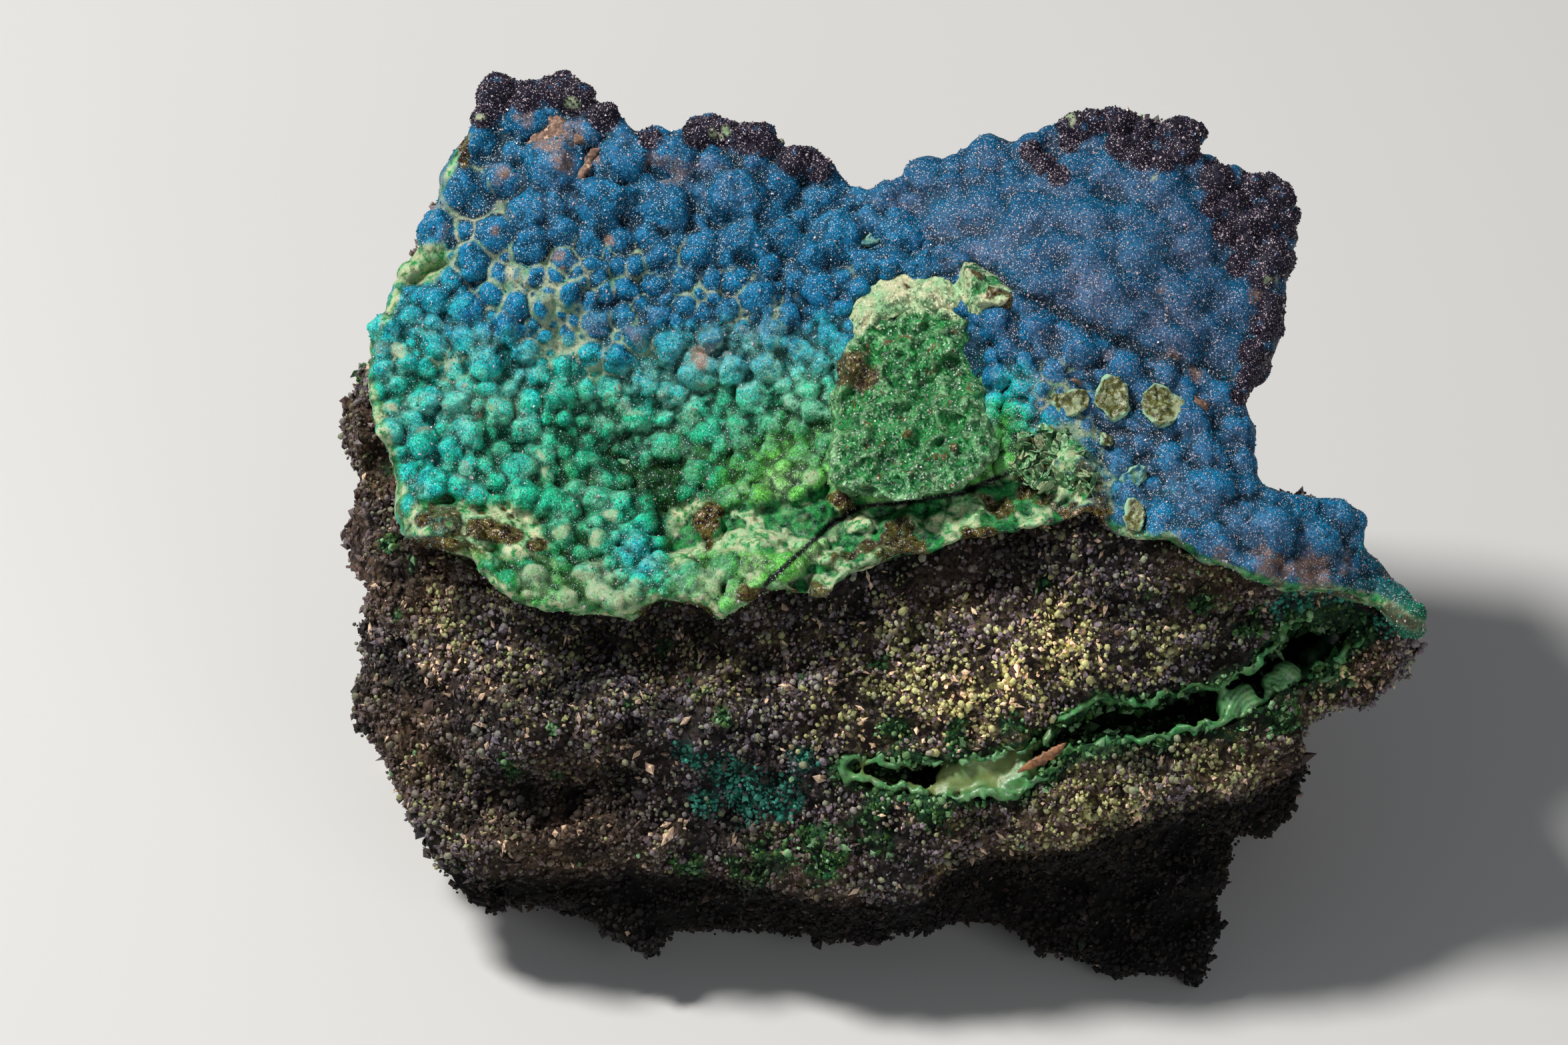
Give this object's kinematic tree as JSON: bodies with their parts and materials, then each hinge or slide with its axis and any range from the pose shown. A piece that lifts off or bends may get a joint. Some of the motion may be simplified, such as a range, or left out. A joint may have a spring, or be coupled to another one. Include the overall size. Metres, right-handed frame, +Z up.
{
  "type": "mineral specimen",
  "caption": "Mineral specimen: a lumpy blue to green cornetite crust on a broken granular rock with a green-lined seam, resting on a flat base.",
  "frame": {"origin": "centre of the bounding box at the level of the flat base", "axes": "+X along the specimen's length, to the right as its broken front is seen; +Y from the front towards the back; +Z up, with Z = 0 on the flat base"},
  "size_m": [0.0804, 0.0548, 0.0536],
  "materials": {
    "rock": "coarse granular broken rock, purple-grey and olive grains with fine sparkle",
    "cornetite": "botryoidal crust with a fine sparkling druse, deep blue above and sea green below",
    "malachite": "broken, finely crystalline green surface with a pale cream edge",
    "seam_lining": "waxy botryoidal green, banded where it is broken"
  },
  "bodies": {
    "root": {"matrix": "rock", "cornetite_crust": "cornetite", "malachite_ridge": "malachite", "seam_malachite": "seam_lining"}
  },
  "joints": []
}
